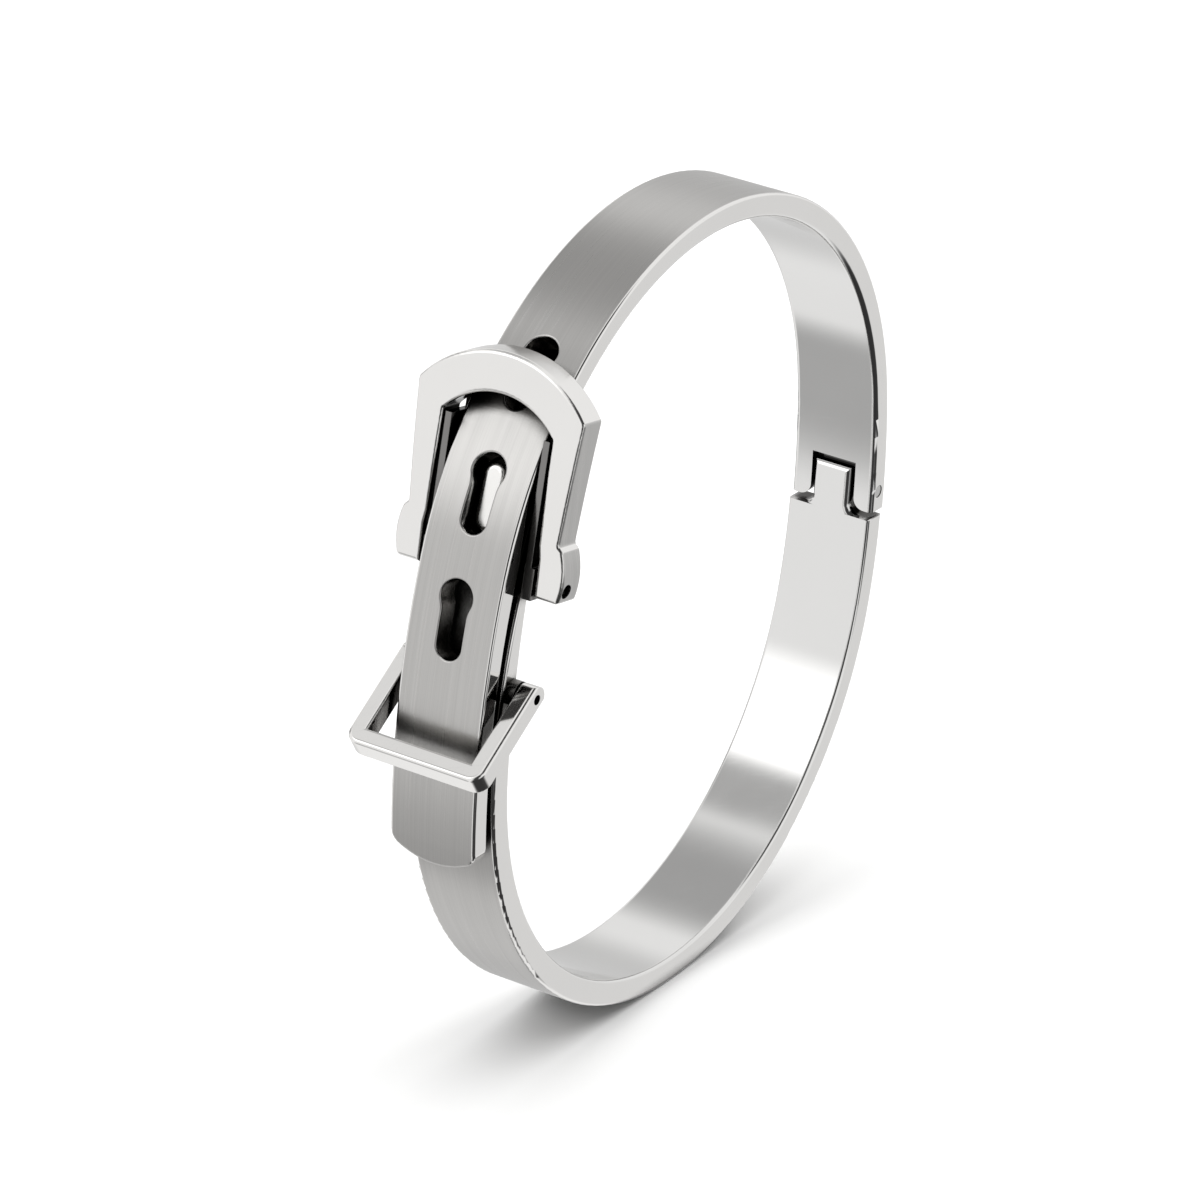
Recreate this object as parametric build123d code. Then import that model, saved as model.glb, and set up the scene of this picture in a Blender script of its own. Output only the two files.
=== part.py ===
from build123d import *
import os
from math import asin, atan2, cos, degrees, radians, sin, sqrt

# A hinged steel bangle made like a belt and buckle.  Millimetres, +Z up.
# The ring lies in the YZ plane and X runs across the band.  The buckle faces -Y, the hinge
# is at +Y, and the origin is the centre of the wrist opening.

# ---- band ----
BAND_WIDTH = 7.1
HALF_WIDTH = BAND_WIDTH / 2
UPPER_THICKNESS = 1.85
LOWER_THICKNESS = 2.0
EDGE_ROUND = 0.25           # upper band, outer edges
INNER_EDGE_ROUND = 0.45     # upper band, edges next to the skin
LOWER_EDGE_ROUND = 0.3

# Upper band, outer edge: from the hinge over the top and down the front to the tip.
UPPER_START = (27.11, -1.60)
UPPER_HEADING = 89.14
UPPER_ARCS = [(57.0, 9.69), (27.2, 155.1), (58.7, 23.0)]      # (radius, degrees turned)
TIP_LENGTH = 105.9          # measured along the outer edge from the start
TIP_RADIUS = 6.0
TIP_CORNER = 1.2

# Lower band, outer edge: from the hinge under the wrist and up behind the strap.
LOWER_START = (26.92, -2.15)
LOWER_HEADING = -91.2
LOWER_ARCS = [(45.0, 9.2), (26.6, 169.6)]
FRONT_OUTER_RADIUS = 45.0   # the last stretch thins towards the buckle
FRONT_INNER_RADIUS = 79.0
FRONT_TOP_Z = 11.6

# ---- hinge ----
HINGE_Y = 26.1
HINGE_Z = 0.0
HINGE_PIN_RADIUS = 0.5
HINGE_PIN_LENGTH = 7.0
TONGUE_WIDTH = 3.3
TONGUE_RISE = 3.85          # above the lower band's shoulders
TONGUE_FOOT_ROUND = 0.8     # hollow between the tongue and the shoulders
TONGUE_EDGE_ROUND = 0.6
NOTCH_WIDTH = 3.8
NOTCH_TOP_Z = 2.2
EAR_CORNER = 0.9            # rounding beside the tongue at the ends of the ears
RUNNING_GAP = 0.03

# ---- strap slots ----
SLOT_TOPS = [65.95, 75.1, 84.25]      # along the outer edge
SLOT_LENGTH = 5.85
SLOT_WIDTH = 2.05
SLOT_HEAD_RADIUS = 1.3
SLOT_NECK_ROUND = 2.0
SLOT_RIM_ROUND = 0.15

# ---- buckle: its own axes start at the lug pin, "up" along the frame and "out" from it ----
BUCKLE_PIN_Y = -23.95
BUCKLE_PIN_Z = 10.5
BUCKLE_TILT = 9.5           # degrees the frame leans back
FRAME_FRONT = 0.95
FRAME_BACK = -1.3
FRAME_CROWN_RADIUS = 150.0
FRAME_CROWN_UP = 7.0
FRAME_EDGE_ROUND = 0.3
FRAME_CORNER = 0.35         # softened corners of the frame's outline
STRAP_CLEARANCE = 0.25      # relief under the arch where the strap passes
RELIEF_STRETCH = (60.0, 80.0)         # along the strap, past both ends of the frame
RELIEF_DEPTH = 3.0
ARCH_CORNER = (6.87, 12.1)  # (half width, up)
ARCH_RADIUS = 8.64
LEG_KINK = (6.25, 3.2)
LUG_SHOULDER = (6.62, 2.85)
LUG_SIDE = (6.98, 1.0)      # the middle of the lug's round side
LUG_BOTTOM = (6.7, -0.95)
OPENING_FOOT = (4.75, 1.9)  # (half width, up) between the lugs
OPENING_WAIST = (4.6, 2.9)
OPENING_CORNER = (4.5, 10.4)
OPENING_ARCH_RADIUS = 5.87
BUCKLE_PIN_RADIUS = 0.5
BUCKLE_PIN_INNER_X = 3.95
BUCKLE_PIN_OUTER_X = 6.6

# ---- buckle base ----
BASE_HALF_WIDTH = 4.3
BASE_BOSS_HALF_WIDTH = 4.6
BASE_CHANNEL_HALF_WIDTH = 3.8
BASE_FRONT = 0.75
BASE_BOTTOM_UP = -1.2
BASE_TOP_UP = 10.2
BEHIND_ARCH_UP = 12.6       # the channel's end, behind the arch
BEHIND_ARCH_FRONT = -1.75
BEHIND_ARCH_BACK = -3.6
BOSS_TOP_UP = 1.1
BASE_FRONT_LIMIT = 2.0      # the walls stand at most this far in front of the strap
FLOOR_DEPTH = 2.15          # below the strap's outer face
FLOOR_BACK_DEPTH = 4.4
BASE_STRETCH = (64.0, 92.0)           # along the strap, past both ends of the base
LEAF_STRETCH = (63.0, 76.0)           # thin leaf that closes the first slot from behind
LEAF_HALF_WIDTH = 2.6
LEAF_BACK_DEPTH = 2.95

# ---- locking stud ----
STUD_TOP_RADIUS = 52.15     # about the hinge pin
STUD_MIDDLE = 78.1
STUD_LENGTH = 4.9
STUD_WIDTH = 1.75
STUD_SUNK_DEPTH = 3.3
STUD_DOME_ROUND = 0.4
GROOVE_RADIUS = 52.25       # about the hinge pin: relief behind the slots, clear of the stud
GROOVE_STRETCH = (79.0, 93.0)
GROOVE_WIDTH = 1.95

# ---- keeper loop: axes start at its pivot, "forward" to the front bar ----
KEEPER_PIVOT_Y = -24.95
KEEPER_PIVOT_Z = 2.2
KEEPER_DROP = 34.0          # degrees below level
KEEPER_FACE = 0.9
KEEPER_BACK = -0.7
KEEPER_HALF_WIDTH = 5.68
KEEPER_INNER_HALF_WIDTH = 4.35
KEEPER_REACH = 8.0
KEEPER_INNER_REACH = 6.65
KEEPER_CORNER = 1.1
KEEPER_END_RADIUS = 0.95
KEEPER_ARM_START = 0.25     # from the pivot, where the round end meets the flat face
KEEPER_EDGE_ROUND = 0.3     # outside
KEEPER_INNER_ROUND = 0.2    # round the opening
KEEPER_PIN_RADIUS = 0.35
KEEPER_PIN_LENGTH = 10.8
SPACER_RADIUS = 0.95
SPACER_OUTER_X = 4.28

FAR = 20.0                  # longer than anything it cuts
CLOSE = 1e-3                # lengths nearer than this are the same
JOINT_STEP = 1e-7           # takes a point at a joint of two arcs into the second one


def point(y, z, x=0.0):
    return Vector(x, y, z)


class ArcPath:
    """Tangent arcs in the YZ plane; turn is +1 counter-clockwise, -1 clockwise."""

    def __init__(self, start, heading, turn, arcs):
        self.turn = turn
        self.stretches = []
        y, z = start
        length = 0.0
        for radius, sweep in arcs:
            centre_y = y - turn * radius * sin(radians(heading))
            centre_z = z + turn * radius * cos(radians(heading))
            angle = degrees(atan2(z - centre_z, y - centre_y))
            span = radius * radians(sweep)
            self.stretches.append((length, length + span, centre_y, centre_z, radius, angle))
            length += span
            heading += turn * sweep
            end = radians(angle + turn * sweep)
            y = centre_y + radius * cos(end)
            z = centre_z + radius * sin(end)
        self.length = length

    def stretch_at(self, length):
        for stretch in self.stretches:
            if length <= stretch[1]:
                return stretch
        return self.stretches[-1]

    def angle_at(self, length):
        begin, _, _, _, radius, angle = self.stretch_at(length)
        return angle + self.turn * degrees((length - begin) / radius)

    def at(self, length, depth=0.0, x=0.0):
        """The point this far along the outer edge and this deep inside it."""
        _, _, centre_y, centre_z, radius, _ = self.stretch_at(length)
        angle = radians(self.angle_at(length))
        return point(centre_y + (radius - depth) * cos(angle), centre_z + (radius - depth) * sin(angle), x)

    def outward(self, length):
        angle = radians(self.angle_at(length))
        return Vector(0, cos(angle), sin(angle))

    def edges(self, begin, end, depth):
        result = []
        for start, stop, *_ in self.stretches:
            low = max(begin, start)
            high = min(end, stop)
            if high - low < CLOSE:
                continue
            first = self.at(low + JOINT_STEP, depth) if low == start else self.at(low, depth)
            last = self.at(high, depth)
            result.append((first, self.at((low + high) / 2, depth), last))
        return result

    def strip(self, begin, end, outer_depth, inner_depth):
        """The band-shaped face between two lengths and two depths."""
        outer = self.edges(begin, end, outer_depth)
        inner = [(c, b, a) for a, b, c in reversed(self.edges(begin, end, inner_depth))]
        return outline(outer + inner)


def outline(arcs):
    """A face from three-point arcs in order, joined by straight lines where they don't meet."""
    edges = []
    for index, (first, middle, last) in enumerate(arcs):
        edges.append(Edge.make_three_point_arc(first, middle, last))
        following = arcs[(index + 1) % len(arcs)][0]
        if (following - last).length > CLOSE:
            edges.append(Edge.make_line(last, following))
    return Face(Wire(edges))


def across(face, half_width):
    """A side profile made solid to both sides of the middle."""
    return extrude(face, amount=half_width, dir=(1, 0, 0), both=True)


def rod(y, z, radius, x_from, x_to):
    length = x_to - x_from
    return Pos((x_from + x_to) / 2, y, z) * Rot(0, 90, 0) * Cylinder(radius, length)


def block(x_low, x_high, y_low, y_high, z_low, z_high):
    size = (x_high - x_low, y_high - y_low, z_high - z_low)
    middle = ((x_low + x_high) / 2, (y_low + y_high) / 2, (z_low + z_high) / 2)
    return Pos(*middle) * Box(*size)


def both_sides(solid):
    return solid + mirror(solid, Plane.YZ)


upper_path = ArcPath(UPPER_START, UPPER_HEADING, 1, UPPER_ARCS)
lower_path = ArcPath(LOWER_START, LOWER_HEADING, -1, LOWER_ARCS)

# Planes whose local Z is "out" of the buckle or the keeper and local Y runs along it.
tilt = radians(BUCKLE_TILT)
BUCKLE_OUT = Vector(0, -cos(tilt), sin(tilt))
BUCKLE_UP = Vector(0, sin(tilt), cos(tilt))
buckle_origin = point(BUCKLE_PIN_Y, BUCKLE_PIN_Z)
buckle_plane = Plane(origin=buckle_origin, x_dir=(1, 0, 0), z_dir=BUCKLE_OUT)

drop = radians(KEEPER_DROP)
keeper_plane = Plane(
    origin=point(KEEPER_PIVOT_Y, KEEPER_PIVOT_Z),
    x_dir=(1, 0, 0),
    z_dir=(0, -sin(drop), cos(drop)),
)


def keyhole_cutter(top):
    """A slot with a round head at its upper end, square to the strap at its middle."""
    middle = top + SLOT_LENGTH / 2
    plane = Plane(origin=upper_path.at(middle), x_dir=(1, 0, 0), z_dir=upper_path.outward(middle))
    half = SLOT_LENGTH / 2
    head = Pos(0, half - SLOT_HEAD_RADIUS) * Circle(SLOT_HEAD_RADIUS)
    straight_top = half - SLOT_HEAD_RADIUS
    straight_bottom = -half + SLOT_WIDTH / 2
    straight_middle = (straight_top + straight_bottom) / 2
    straight = Pos(0, straight_middle) * Rectangle(SLOT_WIDTH, straight_top - straight_bottom)
    foot = Pos(0, straight_bottom) * Circle(SLOT_WIDTH / 2)
    keyhole = head + straight + foot
    necks = [corner for corner in keyhole.vertices() if corner.Y > straight_bottom + CLOSE]
    keyhole = fillet(necks, SLOT_NECK_ROUND)
    return extrude(plane * keyhole, amount=UPPER_THICKNESS * 2, both=True)


def tip_cutter():
    """What is cut away outside the strap's rounded tip, drawn looking along Y."""
    tip = upper_path.at(TIP_LENGTH)
    half = HALF_WIDTH
    sagitta = TIP_RADIUS - sqrt(TIP_RADIUS ** 2 - half ** 2)
    shoulder = tip.Z + sagitta
    top = tip.Z + 3 * TIP_CORNER + sagitta
    edges = [
        Edge.make_line((-half, 0, top), (-half, 0, shoulder)),
        Edge.make_three_point_arc((-half, 0, shoulder), (0, 0, tip.Z), (half, 0, shoulder)),
        Edge.make_line((half, 0, shoulder), (half, 0, top)),
        Edge.make_line((half, 0, top), (-half, 0, top)),
    ]
    kept = Face(Wire(edges))
    lower_corners = [corner for corner in kept.vertices() if corner.Z < top - CLOSE]
    kept = kept.fillet_2d(TIP_CORNER, lower_corners)
    kept_solid = extrude(kept, amount=FAR * 2, dir=(0, 1, 0), both=True)
    zone = block(-FAR, FAR, -FAR * 2, 0, tip.Z - TIP_CORNER, top)
    return zone - kept_solid


def side_edges(band, radii):
    """The long edges, of any of these radii, round the band's two side faces."""
    found = []
    for edge in band.edges():
        on_side = abs(abs(edge.center().X) - HALF_WIDTH) < CLOSE
        if on_side and edge.geom_type == GeomType.CIRCLE and edge.length > LOWER_THICKNESS:
            if any(abs(edge.radius - radius) < CLOSE for radius in radii):
                found.append(edge)
    return found


def slot_rims(band):
    """The slots' edges on the strap's outer face."""
    rims = []
    for edge in band.edges():
        middle = edge.position_at(0.5)
        in_front = middle.Y < 0 and middle.Z > 0 and abs(middle.X) < SLOT_HEAD_RADIUS + CLOSE
        if in_front and edge.geom_type != GeomType.LINE and on_outer_face(middle):
            rims.append(edge)
    return rims


def on_outer_face(place):
    for _, _, centre_y, centre_z, radius, _ in upper_path.stretches:
        if abs(sqrt((place.Y - centre_y) ** 2 + (place.Z - centre_z) ** 2) - radius) < CLOSE:
            return True
    return False


def stud_groove():
    """Relief behind the slots, an arc about the hinge pin, so that the strap lifts off the stud."""
    strap = upper_path.strip(*GROOVE_STRETCH, -UPPER_THICKNESS, 2 * UPPER_THICKNESS)
    return across(strap, GROOVE_WIDTH / 2) & rod(HINGE_Y, HINGE_Z, GROOVE_RADIUS, -FAR, FAR)


def make_upper_band():
    band = across(upper_path.strip(0, upper_path.length, 0, UPPER_THICKNESS), HALF_WIDTH)
    band -= block(-NOTCH_WIDTH / 2, NOTCH_WIDTH / 2, 0, 2 * FAR, -FAR, NOTCH_TOP_Z)
    ear_ends = [
        edge for edge in band.edges()
        if abs(abs(edge.center().X) - NOTCH_WIDTH / 2) < CLOSE
        and edge.center().Y > 0 and edge.center().Z < UPPER_START[1] + EDGE_ROUND
    ]
    band = fillet(ear_ends, EAR_CORNER)
    band -= tip_cutter()
    outer_radii = [radius for radius, _ in UPPER_ARCS]
    inner_radii = [radius - UPPER_THICKNESS for radius in outer_radii]
    band = fillet(side_edges(band, outer_radii), EDGE_ROUND)
    band = fillet(side_edges(band, inner_radii), INNER_EDGE_ROUND)
    for top in SLOT_TOPS:
        band -= keyhole_cutter(top)
    band = fillet(slot_rims(band), SLOT_RIM_ROUND)
    band -= stud_groove()
    band -= rod(HINGE_Y, HINGE_Z, HINGE_PIN_RADIUS, -FAR, FAR)
    return band


def make_tongue():
    """The hinge tongue carries the lower band's end on straight and spreads at its foot."""
    outer_foot = lower_path.at(0)
    inner_foot = lower_path.at(0, LOWER_THICKNESS)
    outward = (outer_foot - inner_foot).normalized()
    onward = Vector(0, -outward.Z, outward.Y)
    rise = onward * TONGUE_RISE
    corners = [outer_foot, outer_foot + rise, inner_foot + rise, inner_foot]
    profile = Face(Wire([Edge.make_line(corners[i], corners[(i + 1) % 4]) for i in range(4)]))
    beside = Rectangle(FAR, FAR, align=(Align.MIN, Align.MIN))
    foot_corner = beside.vertices().sort_by(Axis.X).sort_by(Axis.Y)[0]
    beside = Pos(TONGUE_WIDTH / 2, 0) * fillet(foot_corner, TONGUE_FOOT_ROUND)
    foot_plane = Plane(origin=inner_foot, x_dir=(1, 0, 0), z_dir=-outward)
    tongue = across(profile, HALF_WIDTH) - both_sides(extrude(foot_plane * beside, amount=FAR, both=True))
    inner_edges = []
    for edge in tongue.edges():
        offset = edge.center() - inner_foot
        if abs(offset.dot(outward)) < CLOSE and offset.dot(onward) > CLOSE:
            inner_edges.append(edge)
    return fillet(inner_edges, TONGUE_EDGE_ROUND)


def make_lower_band():
    outer = lower_path.edges(0, lower_path.length, 0)
    inner = [(c, b, a) for a, b, c in reversed(lower_path.edges(0, lower_path.length, LOWER_THICKNESS))]
    front_outer = lower_path.at(lower_path.length)
    front_inner = lower_path.at(lower_path.length, LOWER_THICKNESS)
    rise = FRONT_TOP_Z - front_outer.Z

    def front_arc(start, radius):
        angle = asin(rise / radius)
        arc_points = []
        for share in (0, 0.5, 1):
            turned = angle * share
            arc_points.append(point(start.Y + radius * (1 - cos(turned)), start.Z + radius * sin(turned)))
        return arc_points

    up = front_arc(front_outer, FRONT_OUTER_RADIUS)
    down = front_arc(front_inner, FRONT_INNER_RADIUS)[::-1]
    band = across(outline(outer + [tuple(up), tuple(down)] + inner), HALF_WIDTH)
    radii = [radius for radius, _ in LOWER_ARCS]
    radii += [radius - LOWER_THICKNESS for radius in radii]
    radii += [FRONT_OUTER_RADIUS, FRONT_INNER_RADIUS]
    top_edges = [edge for edge in band.edges() if abs(edge.center().Z - FRONT_TOP_Z) < CLOSE]
    band = fillet(side_edges(band, radii) + top_edges, LOWER_EDGE_ROUND)
    band += make_tongue()
    band -= rod(HINGE_Y, HINGE_Z, HINGE_PIN_RADIUS + RUNNING_GAP, -FAR, FAR)
    band -= rod(KEEPER_PIVOT_Y, KEEPER_PIVOT_Z, KEEPER_PIN_RADIUS, -FAR, FAR)
    return band


def crowned_slab(front, back):
    """The gently curved sheet the frame is cut from."""
    centre = buckle_origin + BUCKLE_UP * FRAME_CROWN_UP + BUCKLE_OUT * (front - FRAME_CROWN_RADIUS)
    thickness = front - back
    outer = rod(centre.Y, centre.Z, FRAME_CROWN_RADIUS, -FAR, FAR)
    inner = rod(centre.Y, centre.Z, FRAME_CROWN_RADIUS - thickness, -FAR, FAR)
    return outer - inner


def mirrored(corners):
    return [(-x, up) for x, up in corners]


def arch_apex(corner, radius):
    half, up = corner
    return (0.0, up + radius - sqrt(radius ** 2 - half ** 2))


def round_frame(frame):
    """Round the edges all round the frame's front face."""
    front = frame.faces().filter_by(GeomType.CYLINDER).sort_by(SortBy.AREA)[-1]
    return fillet(front.edges(), FRAME_EDGE_ROUND)


def make_buckle_frame():
    right = [LUG_SHOULDER, LEG_KINK, ARCH_CORNER]
    left = mirrored(right)
    lug = [LUG_BOTTOM, LUG_SIDE, LUG_SHOULDER]
    lugs = ThreePointArc(*lug) + ThreePointArc(*mirrored(lug)) + Line(LUG_BOTTOM, mirrored(lug)[0])
    top = ThreePointArc(right[-1], arch_apex(ARCH_CORNER, ARCH_RADIUS), left[-1])
    body = make_face(lugs + Polyline(*right) + Polyline(*left) + top)
    lower = (OPENING_FOOT[0], LUG_BOTTOM[1] - 1)
    inner_right = [lower, OPENING_FOOT, OPENING_WAIST, OPENING_CORNER]
    inner_left = mirrored(inner_right)
    inner_sides = Polyline(*inner_right) + Polyline(*inner_left) + Line(inner_right[0], inner_left[0])
    inner_apex = arch_apex(OPENING_CORNER, OPENING_ARCH_RADIUS)
    opening = make_face(inner_sides + ThreePointArc(inner_right[-1], inner_apex, inner_left[-1]))
    body = fillet(body.vertices(), FRAME_CORNER)
    opening = fillet(opening.vertices().filter_by_position(Axis.Y, 0, FAR), FRAME_CORNER)
    prism = extrude(buckle_plane * (body - opening), amount=FAR, both=True)
    frame = prism & crowned_slab(FRAME_FRONT, FRAME_BACK)
    relief = upper_path.strip(*RELIEF_STRETCH, -STRAP_CLEARANCE, RELIEF_DEPTH)
    frame -= across(relief, HALF_WIDTH + STRAP_CLEARANCE)
    frame = round_frame(frame)
    frame -= rod(BUCKLE_PIN_Y, BUCKLE_PIN_Z, BUCKLE_PIN_RADIUS + RUNNING_GAP, -FAR, FAR)
    return frame


def buckle_block(half_width, out_low, out_high, up_low, up_high):
    size = (2 * half_width, up_high - up_low, out_high - out_low)
    middle = (0, (up_low + up_high) / 2, (out_low + out_high) / 2)
    return buckle_plane * Pos(*middle) * Box(*size)


def make_buckle_base(lower_band):
    along_strap = upper_path.strip(*BASE_STRETCH, -BASE_FRONT_LIMIT, FLOOR_BACK_DEPTH)
    slim = buckle_block(BASE_HALF_WIDTH, -FAR, BASE_FRONT, BASE_BOTTOM_UP, BASE_TOP_UP)
    wide = buckle_block(BASE_BOSS_HALF_WIDTH, -FAR, BASE_FRONT, BASE_BOTTOM_UP, BOSS_TOP_UP)
    behind_arch = buckle_block(BASE_HALF_WIDTH, BEHIND_ARCH_BACK, BEHIND_ARCH_FRONT, 0, BEHIND_ARCH_UP)
    base = across(along_strap, BASE_BOSS_HALF_WIDTH) & (slim + wide + behind_arch)
    base += across(upper_path.strip(*LEAF_STRETCH, FLOOR_DEPTH, LEAF_BACK_DEPTH), LEAF_HALF_WIDTH)
    channel = upper_path.strip(*BASE_STRETCH, -2 * BASE_FRONT_LIMIT, FLOOR_DEPTH)
    base -= across(channel, BASE_CHANNEL_HALF_WIDTH)
    base -= lower_band
    base -= both_sides(rod(BUCKLE_PIN_Y, BUCKLE_PIN_Z, BUCKLE_PIN_RADIUS, BUCKLE_PIN_INNER_X, FAR))
    return base


def make_buckle_pins():
    pin = rod(BUCKLE_PIN_Y, BUCKLE_PIN_Z, BUCKLE_PIN_RADIUS, BUCKLE_PIN_INNER_X, BUCKLE_PIN_OUTER_X)
    return both_sides(pin)


def make_stud():
    plane = Plane(
        origin=upper_path.at(STUD_MIDDLE),
        x_dir=(1, 0, 0),
        z_dir=upper_path.outward(STUD_MIDDLE),
    )
    section = Rot(0, 0, 90) * SlotOverall(STUD_LENGTH, STUD_WIDTH)
    column = extrude(plane * Pos(0, 0, -STUD_SUNK_DEPTH) * section, amount=STUD_SUNK_DEPTH)
    stud = column & rod(HINGE_Y, HINGE_Z, STUD_TOP_RADIUS, -FAR, FAR)
    round_faces = stud.faces().filter_by(GeomType.CYLINDER)
    top = round_faces.sort_by(lambda face: plane.to_local_coords(face.center()).Z)[-1]
    return fillet(top.edges(), STUD_DOME_ROUND)


def keeper_face_edges(loop):
    """The edges round the loop's front face."""
    return [
        edge for edge in loop.edges()
        if abs(keeper_plane.to_local_coords(edge.center()).Z - KEEPER_FACE) < CLOSE
    ]


def beside_opening(edge):
    middle = keeper_plane.to_local_coords(edge.center())
    return abs(middle.X) < KEEPER_INNER_HALF_WIDTH + CLOSE and middle.Y > -KEEPER_INNER_REACH - CLOSE


def make_keeper_loop():
    reach = KEEPER_REACH
    outer_length = reach + KEEPER_END_RADIUS
    outer = Pos(0, outer_length / 2 - reach) * Rectangle(2 * KEEPER_HALF_WIDTH, outer_length)
    outer = fillet(outer.vertices().sort_by(Axis.Y)[:2], KEEPER_CORNER)
    inner_length = KEEPER_INNER_REACH + reach
    inner_middle = inner_length / 2 - KEEPER_INNER_REACH
    inner = Pos(0, inner_middle) * Rectangle(2 * KEEPER_INNER_HALF_WIDTH, inner_length)
    thickness = KEEPER_FACE - KEEPER_BACK
    loop = extrude(keeper_plane * Pos(0, 0, KEEPER_BACK) * (outer - inner), amount=thickness)
    ends = rod(KEEPER_PIVOT_Y, KEEPER_PIVOT_Z, KEEPER_END_RADIUS, -KEEPER_HALF_WIDTH, KEEPER_HALF_WIDTH)
    arms_middle = -reach / 2 - KEEPER_ARM_START
    long_part = keeper_plane * Pos(0, arms_middle, 0) * Box(2 * KEEPER_HALF_WIDTH, reach, reach)
    loop = loop & (ends + long_part)
    outer_edges = [edge for edge in keeper_face_edges(loop) if not beside_opening(edge)]
    loop = fillet(outer_edges, KEEPER_EDGE_ROUND)
    opening_edges = [edge for edge in keeper_face_edges(loop) if beside_opening(edge)]
    loop = fillet(opening_edges, KEEPER_INNER_ROUND)
    loop -= rod(KEEPER_PIVOT_Y, KEEPER_PIVOT_Z, KEEPER_PIN_RADIUS + RUNNING_GAP, -FAR, FAR)
    return loop


def make_keeper_spacers():
    spacer = rod(KEEPER_PIVOT_Y, KEEPER_PIVOT_Z, SPACER_RADIUS, HALF_WIDTH, SPACER_OUTER_X)
    spacer -= rod(KEEPER_PIVOT_Y, KEEPER_PIVOT_Z, KEEPER_PIN_RADIUS, 0, FAR)
    return both_sides(spacer)


def make_keeper_pin():
    half = KEEPER_PIN_LENGTH / 2
    return rod(KEEPER_PIVOT_Y, KEEPER_PIVOT_Z, KEEPER_PIN_RADIUS, -half, half)


os.makedirs("parts", exist_ok=True)
upper_band = make_upper_band()
lower_band = make_lower_band()
stud = make_stud()
parts = {
    "upper_band": upper_band,
    "lower_band": lower_band,
    "hinge_pin": rod(HINGE_Y, HINGE_Z, HINGE_PIN_RADIUS, -HINGE_PIN_LENGTH / 2, HINGE_PIN_LENGTH / 2),
    "buckle_frame": make_buckle_frame(),
    "buckle_base": make_buckle_base(lower_band) - stud,
    "buckle_pins": make_buckle_pins(),
    "locking_stud": stud,
    "keeper_loop": make_keeper_loop(),
    "keeper_spacers": make_keeper_spacers(),
    "keeper_pin": make_keeper_pin(),
}
for name, solid in parts.items():
    export_step(solid, "parts/" + name + ".step")
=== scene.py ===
"""Looks for the hinged steel belt bangle: metals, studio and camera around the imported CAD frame."""
import math

import bpy
from mathutils import Matrix, Vector


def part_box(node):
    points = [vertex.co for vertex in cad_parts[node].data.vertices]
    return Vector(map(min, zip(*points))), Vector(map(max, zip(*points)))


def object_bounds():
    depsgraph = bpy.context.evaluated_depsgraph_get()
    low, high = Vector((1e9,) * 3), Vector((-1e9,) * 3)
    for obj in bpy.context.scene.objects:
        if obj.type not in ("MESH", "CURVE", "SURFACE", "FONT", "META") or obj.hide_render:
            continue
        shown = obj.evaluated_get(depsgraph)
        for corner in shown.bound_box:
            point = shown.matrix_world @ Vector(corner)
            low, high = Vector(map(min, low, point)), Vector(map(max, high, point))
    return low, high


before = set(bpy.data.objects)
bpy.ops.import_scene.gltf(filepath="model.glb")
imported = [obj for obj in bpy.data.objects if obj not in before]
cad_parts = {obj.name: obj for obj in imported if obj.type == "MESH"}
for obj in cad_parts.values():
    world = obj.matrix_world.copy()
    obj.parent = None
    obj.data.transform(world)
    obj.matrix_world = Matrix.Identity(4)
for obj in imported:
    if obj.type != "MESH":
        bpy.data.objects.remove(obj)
cad_low, cad_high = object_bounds()
MM = 0.001

# ---- camera: the viewing angle of the picture, in degrees and metres ----
CAMERA_AZIMUTH = 31.11
CAMERA_ELEVATION = 24.79
CAMERA_ROLL = -3.58
CAMERA_DISTANCE = 460.5 * MM
CAMERA_LENS = 188.9             # mm
CAMERA_SENSOR = 36.0            # mm across
CAMERA_CLIP = (0.01, 20.0)
CAMERA_AIM = (-4.10 * MM, -0.97 * MM)   # from the origin to the right and upwards, across the view

# ---- studio ----
FLOOR_SIZE = 6.0
FLOOR_COLOUR = (0.93, 0.93, 0.925)
FLOOR_ROUGHNESS = 0.85
PAPER_GRAIN = 900.0             # grains per metre
PAPER_SHADE = 0.99              # of the floor's colour, between the grains
TENT_WHITE = 1.0                # brightness of the white tent round the object
OVERHEAD_STRENGTH = 1.8         # of the even light from above that the floor gets, W/m2
OVERHEAD_SPREAD = 80.0          # degrees across, so that shadows stay soft
# Soft round patches in the tent: azimuth from the front, growing to the right, elevation,
# radius of the full patch, radius where it has faded out, all in degrees, and brightness
PATCHES = [
    (-34.0, 36.0, 4.0, 26.0, 1.9),      # softbox
    (-52.0, 56.0, 3.0, 14.0, 0.50),     # small grey flag above it
    (-120.0, 57.0, 6.0, 27.0, 0.45),    # grey flags behind at the left
    (-158.0, 0.0, 10.0, 32.0, 0.70),
    (-146.0, -38.0, 6.0, 34.0, 0.74),
    (-36.0, -44.0, 9.0, 22.0, 0.50),    # grey card low in front
    (150.0, -25.0, 8.0, 30.0, 0.80),    # pale grey wall behind at the right
    (38.0, 12.0, 17.0, 31.0, 0.05),     # dark screens down the right side
    (38.0, -26.0, 15.0, 29.0, 0.05),
    (92.0, -44.0, 22.0, 36.0, 0.05),
    (75.0, 52.0, 15.0, 29.0, 0.05),
    (35.0, 36.0, 12.0, 24.0, 0.05),
    (65.0, -60.0, 22.0, 36.0, 0.04),
    (-116.0, -21.0, 5.0, 13.0, 0.15),   # dark strip at the left
    (-98.0, 4.0, 4.0, 13.0, 0.15),
    (-88.0, 28.0, 3.0, 12.0, 0.20),
]

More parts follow.
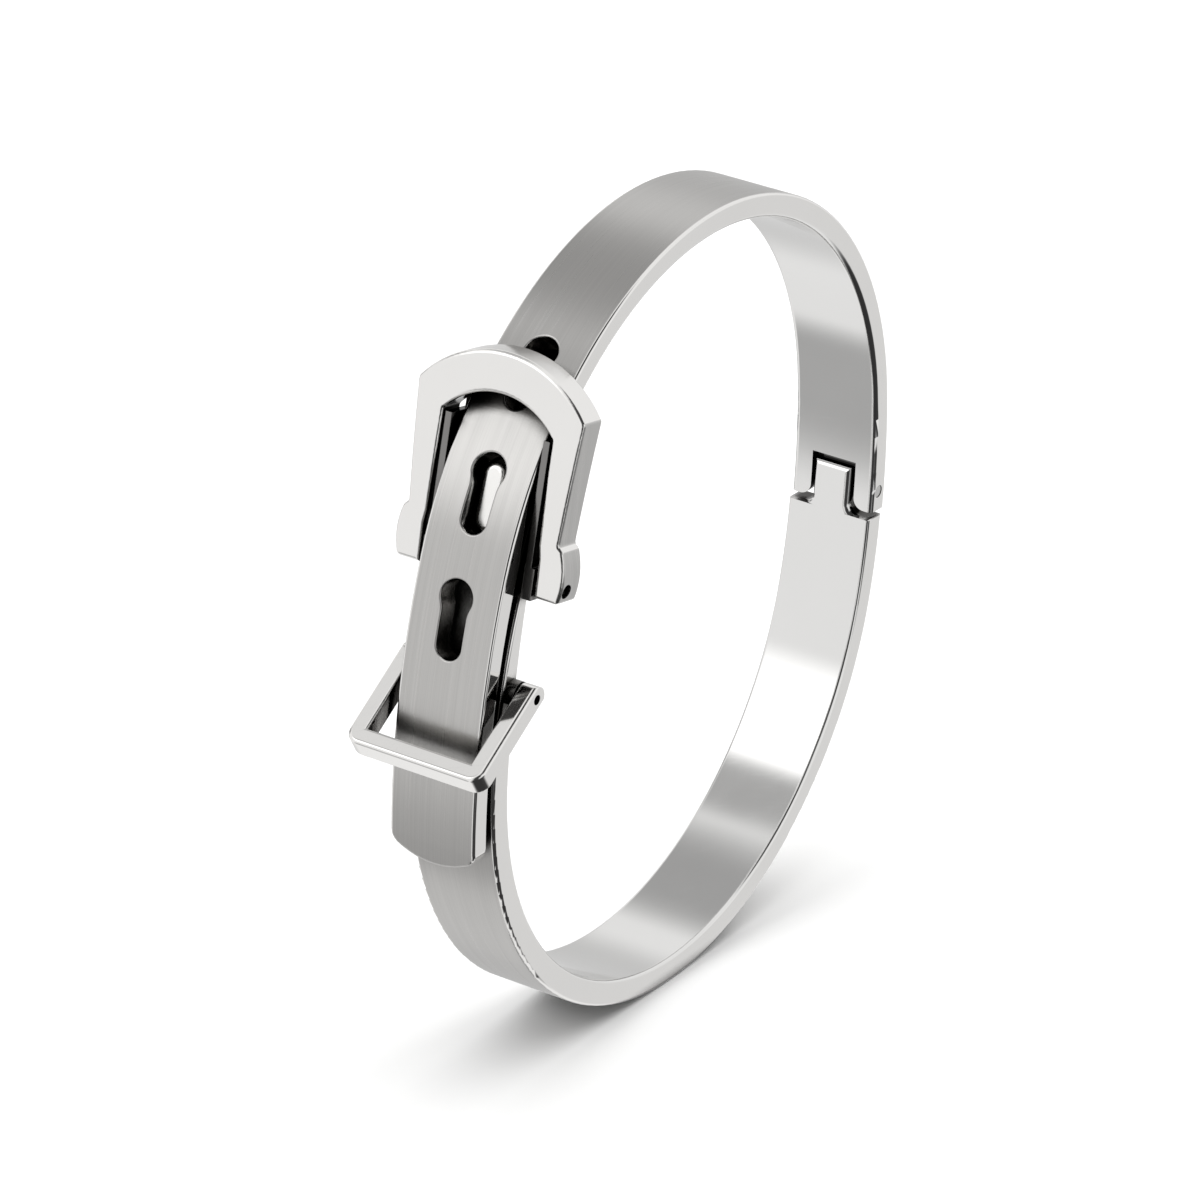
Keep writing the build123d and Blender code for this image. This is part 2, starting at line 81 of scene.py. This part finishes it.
# ---- metals ----
BRUSHED_COLOUR = (0.50, 0.492, 0.48)
POLISHED_COLOUR = (0.80, 0.79, 0.775)
INSIDE_COLOUR = (0.74, 0.735, 0.725)    # worn satin next to the skin
SATIN_COLOUR = (0.50, 0.495, 0.485)
# painted shade: the buckle base and the keeper's spacers get a dark steel colour that stands in for the shade
# they sit in
BASE_SHADE_PAINTED_COLOUR = (0.22, 0.215, 0.21)
PIN_COLOUR = (0.55, 0.545, 0.535)
STUD_COLOUR = (0.90, 0.89, 0.87)
GAP_PAINTED_SHADE = (0.035, 0.033, 0.03)       # painted shade: the near black that the steel's colour falls to deep in a gap, standing in for the shade there

# Roughness of each polished steel, where it is smoothest and where a smudge makes it hazy
BAND_ROUGHNESS = (0.04, 0.08)
INSIDE_ROUGHNESS = (0.08, 0.13)
FRAME_ROUGHNESS = (0.10, 0.15)
KEEPER_ROUGHNESS = (0.06, 0.10)
BASE_ROUGHNESS = (0.12, 0.20)
PIN_ROUGHNESS = (0.18, 0.26)
STUD_ROUGHNESS = (0.16, 0.22)
BRUSHED_ROUGHNESS = (0.33, 0.27)        # in the grooves of the brushing and between them
SCRATCH_ROUGHNESS = 0.04                # what a hairline adds

# Shade of the lowest and the highest spots, as a share of the metal's colour
SMUDGE_SHADES = (0.97, 1.02)
BRUSHED_SHADES = (0.95, 1.04)

# Strength and height of the relief
BAND_RELIEF = (0.10, 0.01 * MM)
FRAME_RELIEF = (0.04, 0.01 * MM)
SMUDGE_RELIEF = (0.04, 0.05 * MM)

# ---- patterns ----
NOISE_SPAN = (0.3, 0.7)         # nearly all of a noise lies between these
SMUDGE_SCALE = 160.0            # per metre
LINE_ACROSS = 14000.0           # brushed lines per metre across the band
LINE_ALONG = 45.0               # and changes per metre along it
RING_RADIUS = 27.0 * MM         # turns an angle round the ring into a length along the band
BROAD_WIDTH = 6                 # broader lines among the fine ones: so many times as wide
BROAD_CHANGE = 0.6              # and with this share of the changes along them
BROAD_LAYER = 3.0               # taken from another layer of the noise
FINE_SHARE = 0.7
BROAD_SHARE = 0.3
SCRATCH_TURNS = (0.4, 1.9, 2.6)     # radians; hairlines run three ways
SCRATCH_AXIS = (0.3, 0.8, 0.5)
SCRATCH_SCALE = (14000.0, 260.0, 260.0)     # per metre, across a hairline and along it
SCRATCH_SPAN = (0.63, 0.75)     # only the noise's highest ridges show as hairlines

# ---- shapes that the shading adds ----
# Rounding of each band's edges, outside and inside; the outside ones are left polished
EDGE_ROUNDS = {"upper_band": (0.25 * MM, 0.45 * MM), "lower_band": (0.30 * MM, 0.30 * MM)}
POLISHED_FROM = 0.6             # share of an outside rounding that is fully polished
SHARP_EDGE_ROUND = 0.07 * MM    # what polishing takes off the sharp edges
# Painted shade: near walls the steel's colour is darkened towards near black, from an ambient occlusion mask
GAP_REACH = 2.5 * MM            # a wall nearer than this makes a gap
GAP_TO_OPEN = (0.54, 0.70)      # share of its surroundings that a place sees, in a gap and in the open

# How far a band's face looks away from the ring's axis, from -1 to 1, where a change starts and ends
FACES_IN = (-0.5, -0.3)
FACES_SIDEWAYS = (-0.1, 0.1)
FACES_OUT = (0.3, 0.5)
# How far a face of the buckle frame looks sideways, and how far forwards
FRAME_SIDE = (0.75, 0.9)
FRAME_FRONT = (0.8, 0.95)
BRUSHED_ANISOTROPY = 0.75
QUARTER_TURN = 0.25             # turns the streaks of light across the brushed lines


class Nodes:
    """A node tree; every call adds a node and gives its output."""

    def __init__(self, tree):
        self.tree = tree

    def put(self, socket, value):
        if isinstance(value, bpy.types.NodeSocket):
            self.tree.links.new(value, socket)
        else:
            socket.default_value = value

    def node(self, kind, inputs=None, **settings):
        made = self.tree.nodes.new(kind)
        for name, value in settings.items():
            setattr(made, name, value)
        for name, value in (inputs or {}).items():
            self.put(made.inputs[name], value)
        return made

    def math(self, operation, first, second=0.0):
        return self.node("ShaderNodeMath", {0: first, 1: second}, operation=operation).outputs[0]

    def vector(self, operation, first, second=(0.0, 0.0, 0.0)):
        made = self.node("ShaderNodeVectorMath", {0: first, 1: second}, operation=operation)
        return made.outputs["Value" if operation == "DOT_PRODUCT" else "Vector"]

    def split(self, vector):
        return self.node("ShaderNodeSeparateXYZ", {0: vector}).outputs

    def join(self, x, y, z):
        return self.node("ShaderNodeCombineXYZ", {0: x, 1: y, 2: z}).outputs[0]

    def range(self, value, low, high, to_low=0.0, to_high=1.0):
        inputs = {"Value": value, "From Min": low, "From Max": high, "To Min": to_low, "To Max": to_high}
        return self.node("ShaderNodeMapRange", inputs, interpolation_type="SMOOTHSTEP").outputs["Result"]

    def noise(self, vector, scale=1.0, detail=2.0, roughness=0.5):
        inputs = {"Vector": vector, "Scale": scale, "Detail": detail, "Roughness": roughness}
        return self.node("ShaderNodeTexNoise", inputs).outputs["Fac"]

    def mix(self, share, first, second):
        """Blend two colours."""
        made = self.node("ShaderNodeMix", data_type="RGBA")
        self.put(made.inputs["Factor"], share)
        self.put(made.inputs["A"], first)
        self.put(made.inputs["B"], second)
        return made.outputs["Result"]

    def blend(self, share, first, second):
        """Blend two numbers."""
        made = self.node("ShaderNodeMix", data_type="FLOAT")
        self.put(made.inputs[0], share)
        self.put(made.inputs[2], first)
        self.put(made.inputs[3], second)
        return made.outputs[0]


class Shader(Nodes):
    """One material's node tree round its Principled shader."""

    def __init__(self, name):
        self.material = bpy.data.materials.new(name)
        self.material.use_nodes = True
        super().__init__(self.material.node_tree)
        self.principled = self.tree.nodes["Principled BSDF"]

    def bump(self, height, strength, distance, normal=None):
        """Relief from a height, over a given normal or on a surface whose sharp edges are slightly broken."""
        if normal is None:
            normal = self.node("ShaderNodeBevel", {"Radius": SHARP_EDGE_ROUND}, samples=4).outputs["Normal"]
        inputs = {"Height": height, "Strength": strength, "Distance": distance, "Normal": normal}
        self.put(self.principled.inputs["Normal"], self.node("ShaderNodeBump", inputs).outputs["Normal"])

    def finish(self, **values):
        for name, value in values.items():
            self.put(self.principled.inputs[name.replace("_", " ")], value)
        return self.material


def opaque(colour):
    return (*colour, 1.0)


def tinted(colour, share):
    return opaque([channel * share for channel in colour])


def shades(shader, share, colour, low, high):
    """A colour that varies between two shades of itself."""
    return shader.mix(share, tinted(colour, low), tinted(colour, high))


def out_of_painted_shade(shader):
    """Mask for the painted gap shade: 0 deep in a gap or slot, where the shade is painted in full, 1 on an
    open face.
    """
    seen = shader.node("ShaderNodeAmbientOcclusion", {"Distance": GAP_REACH}, samples=8).outputs["AO"]
    return shader.range(seen, *GAP_TO_OPEN)


def with_painted_gap_shade(shader, colour, share):
    """A colour with shade painted in: it falls to near black in the gaps between pieces."""
    return shader.mix(share, opaque(GAP_PAINTED_SHADE), colour)


def smudges(shader, place):
    """Soft uneven patches left by polishing, from 0 to 1."""
    return shader.noise(place, scale=SMUDGE_SCALE, detail=3.0, roughness=0.55)


def fine_scratches(shader, place):
    """Thin hairlines that run three ways, from 0 to 1."""
    total = None
    for turn in SCRATCH_TURNS:
        inputs = {"Vector": place, "Angle": turn, "Axis": SCRATCH_AXIS}
        turned = shader.node("ShaderNodeVectorRotate", inputs)
        stretched = shader.vector("MULTIPLY", turned.outputs[0], SCRATCH_SCALE)
        line = shader.range(shader.noise(stretched, detail=1.0), *SCRATCH_SPAN)
        total = line if total is None else shader.math("MAXIMUM", total, line)
    return total


def brushing(shader, across, along):
    """Fine lines that run along, as a height from 0 to 1."""
    fine = shader.noise(shader.join(shader.math("MULTIPLY", across, LINE_ACROSS), along, 0.0), detail=3.0)
    broad_across = shader.math("MULTIPLY", across, LINE_ACROSS / BROAD_WIDTH)
    broad_along = shader.math("MULTIPLY", along, BROAD_CHANGE)
    broad = shader.noise(shader.join(broad_across, broad_along, BROAD_LAYER), detail=2.0)
    return shader.math(
        "ADD", shader.math("MULTIPLY", fine, FINE_SHARE), shader.math("MULTIPLY", broad, BROAD_SHARE))


def polished_finish(shader, place, colour, roughness):
    """Colour and roughness of polished steel with faint smudges and hairlines."""
    patches = smudges(shader, place)
    scratches = fine_scratches(shader, place)
    base = shades(shader, patches, colour, *SMUDGE_SHADES)
    hazy = shader.range(patches, *NOISE_SPAN, *roughness)
    return base, shader.math("ADD", hazy, shader.math("MULTIPLY", scratches, SCRATCH_ROUGHNESS))


def brushed_finish(shader, lines, colour):
    """Colour and roughness of brushed steel, from the height of its lines."""
    base = shades(shader, shader.range(lines, *NOISE_SPAN), colour, *BRUSHED_SHADES)
    return base, shader.range(lines, *NOISE_SPAN, *BRUSHED_ROUGHNESS)


def two_finishes(shader, share, first, second):
    """Blend the colour and roughness of two finishes: share 0 gives the first."""
    return shader.mix(share, first[0], second[0]), shader.blend(share, first[1], second[1])


def rounded_normal(shader, x, normal, outside, half_width, rounds):
    """The true normal over a band's rounded edges, from the place across the band; elsewhere unchanged."""
    edge_round = shader.blend(outside, rounds[1], rounds[0])
    flat_to = shader.math("SUBTRACT", half_width, edge_round)
    past_flat = shader.math("SUBTRACT", shader.math("ABSOLUTE", x), flat_to)
    sine = shader.node("ShaderNodeClamp", {"Value": shader.math("DIVIDE", past_flat, edge_round)}).outputs[0]
    cosine = shader.math("SQRT", shader.math("SUBTRACT", 1.0, shader.math("MULTIPLY", sine, sine)))
    _, y_part, z_part = shader.split(normal)[:3]
    over = shader.split(shader.vector("NORMALIZE", shader.join(0.0, y_part, z_part)))
    sideways = shader.math("MULTIPLY", shader.math("SIGN", x), sine)
    rounded = shader.join(
        sideways, shader.math("MULTIPLY", over[1], cosine), shader.math("MULTIPLY", over[2], cosine))
    mixed = shader.node("ShaderNodeMix", data_type="VECTOR")
    shader.put(mixed.inputs["Factor"], shader.math("GREATER_THAN", past_flat, 0.0))
    shader.put(mixed.inputs["A"], normal)
    shader.put(mixed.inputs["B"], rounded)
    to_world = shader.node(
        "ShaderNodeVectorTransform", {0: mixed.outputs["Result"]},
        vector_type="NORMAL", convert_from="OBJECT", convert_to="WORLD")
    return to_world.outputs[0]


def brushed_share(shader, x, facing, half_width, outer_round):
    """1 on a band's brushed outer face, 0 on its polished edges, sides and inside."""
    brushed_to = half_width - outer_round
    polished_from = half_width - POLISHED_FROM * outer_round
    inside_edge = shader.range(shader.math("ABSOLUTE", x), brushed_to, polished_from, 1.0, 0.0)
    return shader.math("MULTIPLY", inside_edge, shader.range(facing, *FACES_OUT))


def band_material(band):
    """Outer face brushed along the band, sides and rounded edges polished, inner face worn to a satin."""
    shader = Shader(band + "_steel")
    coordinates = shader.node("ShaderNodeTexCoord").outputs
    place = coordinates["Object"]
    x, y, z = shader.split(place)[:3]
    outward = shader.vector("NORMALIZE", shader.join(0.0, y, z))
    facing = shader.vector("DOT_PRODUCT", outward, coordinates["Normal"])
    half_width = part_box(band)[1].x
    brushed = brushed_share(shader, x, facing, half_width, EDGE_ROUNDS[band][0])
    along = shader.math("MULTIPLY", shader.math("ARCTAN2", z, y), RING_RADIUS * LINE_ALONG)
    lines = brushing(shader, x, along)
    polished = polished_finish(shader, place, POLISHED_COLOUR, BAND_ROUGHNESS)
    worn = polished_finish(shader, place, INSIDE_COLOUR, INSIDE_ROUGHNESS)
    smooth = two_finishes(shader, shader.range(facing, *FACES_IN, 1.0, 0.0), polished, worn)
    colour, roughness = two_finishes(shader, brushed, smooth, brushed_finish(shader, lines, BRUSHED_COLOUR))
    outside = shader.range(facing, *FACES_SIDEWAYS)
    normal = rounded_normal(shader, x, coordinates["Normal"], outside, half_width, EDGE_ROUNDS[band])
    shader.bump(shader.math("MULTIPLY", lines, brushed), *BAND_RELIEF, normal)
    tangent = shader.node("ShaderNodeTangent", direction_type="RADIAL", axis="X").outputs[0]
    # the base colour has shade painted into the gaps
    return shader.finish(
        Base_Color=with_painted_gap_shade(shader, colour, out_of_painted_shade(shader)), Metallic=1.0, Roughness=roughness,
        Anisotropic=BRUSHED_ANISOTROPY, Anisotropic_Rotation=QUARTER_TURN, Tangent=tangent)


def frame_material():
    """Front face polished, with very faint lines up the frame; its sides are satin."""
    shader = Shader("frame_steel")
    coordinates = shader.node("ShaderNodeTexCoord").outputs
    place = coordinates["Object"]
    x, y, z = shader.split(place)[:3]
    facing = shader.vector("DOT_PRODUCT", coordinates["Normal"], (0.0, -1.0, 0.0))
    sideways = shader.math("ABSOLUTE", shader.split(coordinates["Normal"])[0])
    along = shader.math("MULTIPLY", z, LINE_ALONG)
    lines = brushing(shader, x, along)
    polished = polished_finish(shader, place, POLISHED_COLOUR, FRAME_ROUGHNESS)
    satin = brushed_finish(shader, brushing(shader, y, along), SATIN_COLOUR)
    colour, roughness = two_finishes(shader, shader.range(sideways, *FRAME_SIDE), polished, satin)
    shader.bump(shader.math("MULTIPLY", lines, shader.range(facing, *FRAME_FRONT)), *FRAME_RELIEF)
    # the base colour has shade painted into the gaps
    return shader.finish(
        Base_Color=with_painted_gap_shade(shader, colour, out_of_painted_shade(shader)), Metallic=1.0, Roughness=roughness)


def polished_material(name, colour, roughness, paints_gap_shade=True):
    """Bright polished steel with faint smudges and hairlines; shade is painted into its colour in the gaps
    unless told not to.
    """
    shader = Shader(name)
    place = shader.node("ShaderNodeTexCoord").outputs["Object"]
    base, varied_roughness = polished_finish(shader, place, colour, roughness)
    shader.bump(smudges(shader, place), *SMUDGE_RELIEF)
    # shade painted into the colour in the gaps
    if paints_gap_shade:
        base = with_painted_gap_shade(shader, base, out_of_painted_shade(shader))
    return shader.finish(Base_Color=base, Metallic=1.0, Roughness=varied_roughness)


def paint():
    """Give every piece its steel."""
    keeper_steel = polished_material("keeper_steel", POLISHED_COLOUR, KEEPER_ROUGHNESS)
    # the base and the spacers: steel painted dark for the shade they sit in
    shade_painted_base_steel = polished_material("shade_painted_base_steel", BASE_SHADE_PAINTED_COLOUR, BASE_ROUGHNESS)
    pin_steel = polished_material("pin_steel", PIN_COLOUR, PIN_ROUGHNESS)
    stud_steel = polished_material("stud_steel", STUD_COLOUR, STUD_ROUGHNESS, paints_gap_shade=False)
    finishes = {
        "upper_band": band_material("upper_band"), "lower_band": band_material("lower_band"),
        "buckle_frame": frame_material(), "keeper_loop": keeper_steel, "locking_stud": stud_steel,
        "buckle_base": shade_painted_base_steel, "keeper_spacers": shade_painted_base_steel,
        "hinge_pin": pin_steel, "buckle_pins": pin_steel, "keeper_pin": pin_steel,
    }
    for name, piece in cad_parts.items():
        piece.data.materials.clear()
        piece.data.materials.append(finishes[name])


def make_floor():
    bpy.ops.mesh.primitive_plane_add(size=FLOOR_SIZE, location=(0, 0, cad_low.z))
    floor = bpy.context.object
    floor.name = "floor"
    shader = Shader("floor_paper")
    place = shader.node("ShaderNodeTexCoord").outputs["Object"]
    grain = shader.noise(place, scale=PAPER_GRAIN, detail=3.0)
    colour = shades(shader, grain, FLOOR_COLOUR, PAPER_SHADE, 1.0)
    floor.data.materials.append(shader.finish(Base_Color=colour, Roughness=FLOOR_ROUGHNESS))
    floor.visible_glossy = False        # polished steel sees the tent's own lower half instead


def direction(azimuth, elevation):
    """The unit vector towards an azimuth, from the front and growing to the right, and an elevation."""
    a, e = math.radians(azimuth), math.radians(elevation)
    return Vector((math.sin(a) * math.cos(e), -math.cos(a) * math.cos(e), math.sin(e)))


def make_tent():
    """A white light tent whose bright and dark patches light the object but don't show behind it."""
    world = bpy.data.worlds.new("tent")
    bpy.context.scene.world = world
    world.use_nodes = True
    nodes = Nodes(world.node_tree)
    background = nodes.tree.nodes["Background"]
    ray = nodes.node("ShaderNodeTexCoord").outputs["Generated"]
    glow = TENT_WHITE
    for azimuth, elevation, full, faded, brightness in PATCHES:
        towards = nodes.vector("DOT_PRODUCT", ray, tuple(direction(azimuth, elevation)))
        share = nodes.range(towards, math.cos(math.radians(faded)), math.cos(math.radians(full)))
        glow = nodes.blend(share, glow, brightness)
    seen_straight = nodes.node("ShaderNodeLightPath").outputs["Is Camera Ray"]
    nodes.put(background.inputs["Strength"], nodes.blend(seen_straight, glow, TENT_WHITE))
    nodes.put(background.inputs["Color"], (1.0, 1.0, 1.0, 1.0))


def make_overhead():
    """Light the floor evenly from above; polished steel doesn't reflect the lamp."""
    light = bpy.data.lights.new("overhead", "SUN")
    light.energy = OVERHEAD_STRENGTH
    light.angle = math.radians(OVERHEAD_SPREAD)
    lamp = bpy.data.objects.new("overhead", light)      # a sun shines straight down unless it is turned
    bpy.context.scene.collection.objects.link(lamp)
    lamp.visible_glossy = False


def make_camera():
    lens = bpy.data.cameras.new("camera")
    lens.sensor_width = CAMERA_SENSOR
    lens.lens = CAMERA_LENS
    lens.clip_start, lens.clip_end = CAMERA_CLIP
    camera = bpy.data.objects.new("camera", lens)
    bpy.context.scene.collection.objects.link(camera)
    back = direction(CAMERA_AZIMUTH, CAMERA_ELEVATION)
    right = Vector((math.cos(math.radians(CAMERA_AZIMUTH)), math.sin(math.radians(CAMERA_AZIMUTH)), 0.0))
    up = back.cross(right)
    place = right * CAMERA_AIM[0] + up * CAMERA_AIM[1] + back * CAMERA_DISTANCE
    turn = Matrix.Rotation(math.radians(-CAMERA_ROLL), 3, back)
    axes = Matrix((turn @ right, turn @ up, back)).transposed()
    camera.matrix_world = Matrix.Translation(place) @ axes.to_4x4()
    bpy.context.scene.camera = camera


paint()
make_floor()
make_tent()
make_overhead()
make_camera()
bpy.context.scene.view_settings.view_transform = "Standard"
